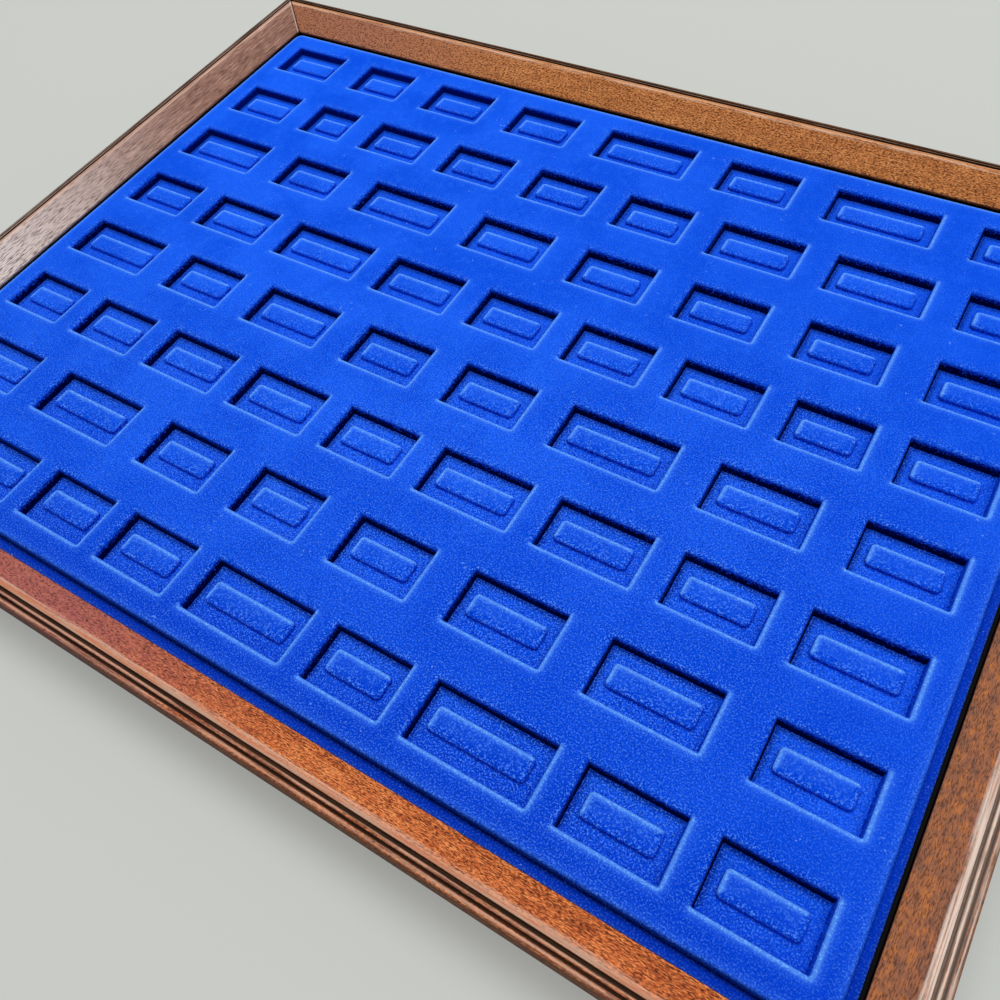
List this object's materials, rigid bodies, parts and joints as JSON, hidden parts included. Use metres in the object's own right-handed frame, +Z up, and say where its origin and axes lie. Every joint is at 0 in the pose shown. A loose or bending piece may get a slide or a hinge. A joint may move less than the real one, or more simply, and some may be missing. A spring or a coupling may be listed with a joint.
{
  "type": "jewelry display case",
  "caption": "Shallow framed display case: mitred wooden rails round a lift-out flocked tray with oblong pits, each with a raised pad.",
  "frame": {"origin": "bottom centre of the case, on the plane of the felt feet", "axes": "+X along the long side to the right, +Y across to the back, +Z up out of the tray"},
  "size_m": [0.4482, 0.3458, 0.0255],
  "materials": {
    "mahogany": "satin varnish",
    "blue_flock": "flocked",
    "hardboard": "smooth pressed board",
    "steel": "bright zinc",
    "felt": "pressed felt"
  },
  "bodies": {
    "case": {"front_rail": "mahogany", "back_rail": "mahogany", "left_rail": "mahogany", "right_rail": "mahogany", "backing_panel": "hardboard", "panel_points": "steel", "corner_v_nails": "steel", "felt_foot_front_left": "felt", "felt_foot_front_right": "felt", "felt_foot_back_left": "felt", "felt_foot_back_right": "felt"},
    "tray": {"display_tray": "blue_flock"}
  },
  "joints": [
    {"name": "tray_lift", "type": "slide", "parent": "case", "child": "tray", "axis": [0, 0, 1], "range_m": [0, 0.03]}
  ]
}
